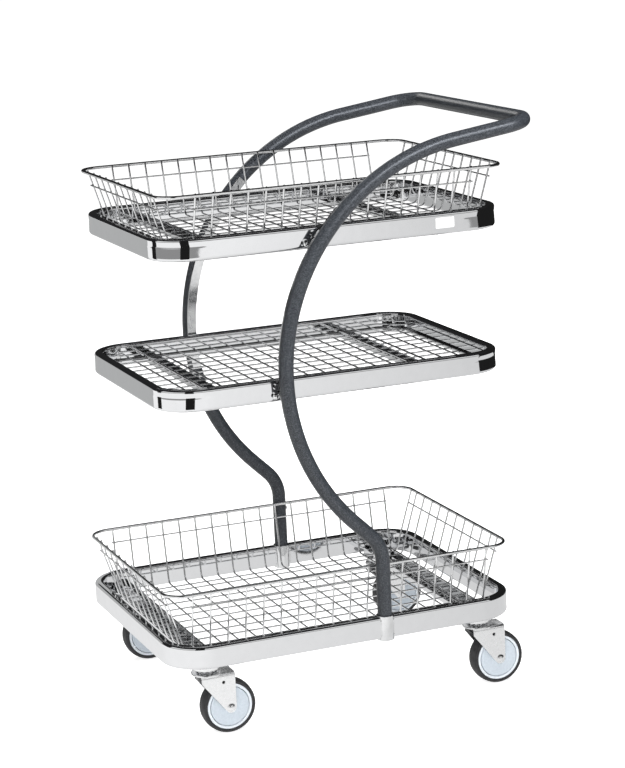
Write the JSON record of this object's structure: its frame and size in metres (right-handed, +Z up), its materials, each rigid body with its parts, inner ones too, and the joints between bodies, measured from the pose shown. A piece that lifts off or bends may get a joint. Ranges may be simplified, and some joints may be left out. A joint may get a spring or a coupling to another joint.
{
  "type": "wire shelf cart",
  "caption": "Chrome wire shelf push cart with a bent-tube handle frame, an open middle shelf, lift-out wire baskets on top and bottom, and swivel casters.",
  "frame": {"origin": "on the floor, under the centre of the cart's overall bounding box", "axes": "+Z up; X along the shelves with +X towards the push handle; Y across the cart, with the left casters on the -Y side when pushing towards -X"},
  "size_m": [0.7415, 0.545, 1.0564],
  "materials": {
    "chrome_tube": "bright chrome plate on rounded rectangular steel tube",
    "chrome_wire": "bright chrome plate on welded wire",
    "chrome_hardware": "bright plated fittings and fasteners",
    "grey_hammered_paint": "dark grey hammered powder coat, semi-gloss",
    "zinc_plate": "bright zinc-plated pressed steel",
    "bearing_steel": "hardened steel balls",
    "tyre_rubber": "black rubber tread, satin",
    "wheel_grey_plastic": "pale blue-grey moulded plastic",
    "bush_plastic": "off-white bearing plastic"
  },
  "bodies": {
    "cart": {"base_cross_bars": "chrome_tube", "base_frame": "chrome_tube", "caster_king_bolts": "chrome_hardware", "deck_dome_bolts": "chrome_hardware", "front_left_caster_plate": "zinc_plate", "front_right_caster_plate": "zinc_plate", "leg_and_handle_tube": "grey_hammered_paint", "leg_side_screws": "chrome_hardware", "leg_sockets": "chrome_hardware", "leg_straps": "chrome_hardware", "middle_shelf_cross_bars": "chrome_tube", "middle_shelf_deck_cross_wires": "chrome_wire", "middle_shelf_deck_edge_wire": "chrome_wire", "middle_shelf_deck_long_wires": "chrome_wire", "middle_shelf_frame": "chrome_tube", "rear_left_caster_plate": "zinc_plate", "rear_right_caster_plate": "zinc_plate", "strap_lug_rivets": "chrome_hardware", "strap_lugs": "chrome_hardware", "top_shelf_cross_bars": "chrome_tube", "top_shelf_frame": "chrome_tube"},
    "top_basket": {"top_basket_band_wires": "chrome_wire", "top_basket_cross_wires": "chrome_wire", "top_basket_long_wires": "chrome_wire", "top_basket_rim": "chrome_wire"},
    "lower_basket": {"lower_basket_band_wires": "chrome_wire", "lower_basket_cross_wires": "chrome_wire", "lower_basket_long_wires": "chrome_wire", "lower_basket_rim": "chrome_wire"},
    "front_left_swivel": {"front_left_axle_bolt_and_nut": "chrome_hardware", "front_left_fork": "zinc_plate", "front_left_swivel_balls": "bearing_steel"},
    "front_left_wheel": {"front_left_axle_bush": "bush_plastic", "front_left_tyre": "tyre_rubber", "front_left_wheel_centre": "wheel_grey_plastic"},
    "front_right_swivel": {"front_right_axle_bolt_and_nut": "chrome_hardware", "front_right_fork": "zinc_plate", "front_right_swivel_balls": "bearing_steel"},
    "front_right_wheel": {"front_right_axle_bush": "bush_plastic", "front_right_tyre": "tyre_rubber", "front_right_wheel_centre": "wheel_grey_plastic"},
    "rear_left_swivel": {"rear_left_axle_bolt_and_nut": "chrome_hardware", "rear_left_fork": "zinc_plate", "rear_left_swivel_balls": "bearing_steel"},
    "rear_left_wheel": {"rear_left_axle_bush": "bush_plastic", "rear_left_tyre": "tyre_rubber", "rear_left_wheel_centre": "wheel_grey_plastic"},
    "rear_right_swivel": {"rear_right_axle_bolt_and_nut": "chrome_hardware", "rear_right_fork": "zinc_plate", "rear_right_swivel_balls": "bearing_steel"},
    "rear_right_wheel": {"rear_right_axle_bush": "bush_plastic", "rear_right_tyre": "tyre_rubber", "rear_right_wheel_centre": "wheel_grey_plastic"}
  },
  "joints": [
    {"name": "top_basket_lift", "type": "slide", "parent": "cart", "child": "top_basket", "axis": [0, 0, 1], "range_m": [0, 0.15]},
    {"name": "lower_basket_lift", "type": "slide", "parent": "cart", "child": "lower_basket", "axis": [0, 0, 1], "range_m": [0, 0.2]},
    {"name": "front_left_swivel_turn", "type": "hinge", "parent": "cart", "child": "front_left_swivel", "pos_m": [-0.29975, -0.226, 0.1215], "axis": [0, 0, 1], "continuous": true},
    {"name": "front_left_wheel_roll", "type": "hinge", "parent": "front_left_swivel", "child": "front_left_wheel", "pos_m": [-0.26375, -0.226, 0.05], "axis": [0, 1, 0], "continuous": true},
    {"name": "front_right_swivel_turn", "type": "hinge", "parent": "cart", "child": "front_right_swivel", "pos_m": [-0.29975, 0.226, 0.1215], "axis": [0, 0, 1], "continuous": true},
    {"name": "front_right_wheel_roll", "type": "hinge", "parent": "front_right_swivel", "child": "front_right_wheel", "pos_m": [-0.26375, 0.226, 0.05], "axis": [0, 1, 0], "continuous": true},
    {"name": "rear_left_swivel_turn", "type": "hinge", "parent": "cart", "child": "rear_left_swivel", "pos_m": [0.23225, -0.226, 0.1215], "axis": [0, 0, 1], "continuous": true},
    {"name": "rear_left_wheel_roll", "type": "hinge", "parent": "rear_left_swivel", "child": "rear_left_wheel", "pos_m": [0.26825, -0.226, 0.05], "axis": [0, 1, 0], "continuous": true},
    {"name": "rear_right_swivel_turn", "type": "hinge", "parent": "cart", "child": "rear_right_swivel", "pos_m": [0.23225, 0.226, 0.1215], "axis": [0, 0, 1], "continuous": true},
    {"name": "rear_right_wheel_roll", "type": "hinge", "parent": "rear_right_swivel", "child": "rear_right_wheel", "pos_m": [0.26825, 0.226, 0.05], "axis": [0, 1, 0], "continuous": true}
  ]
}
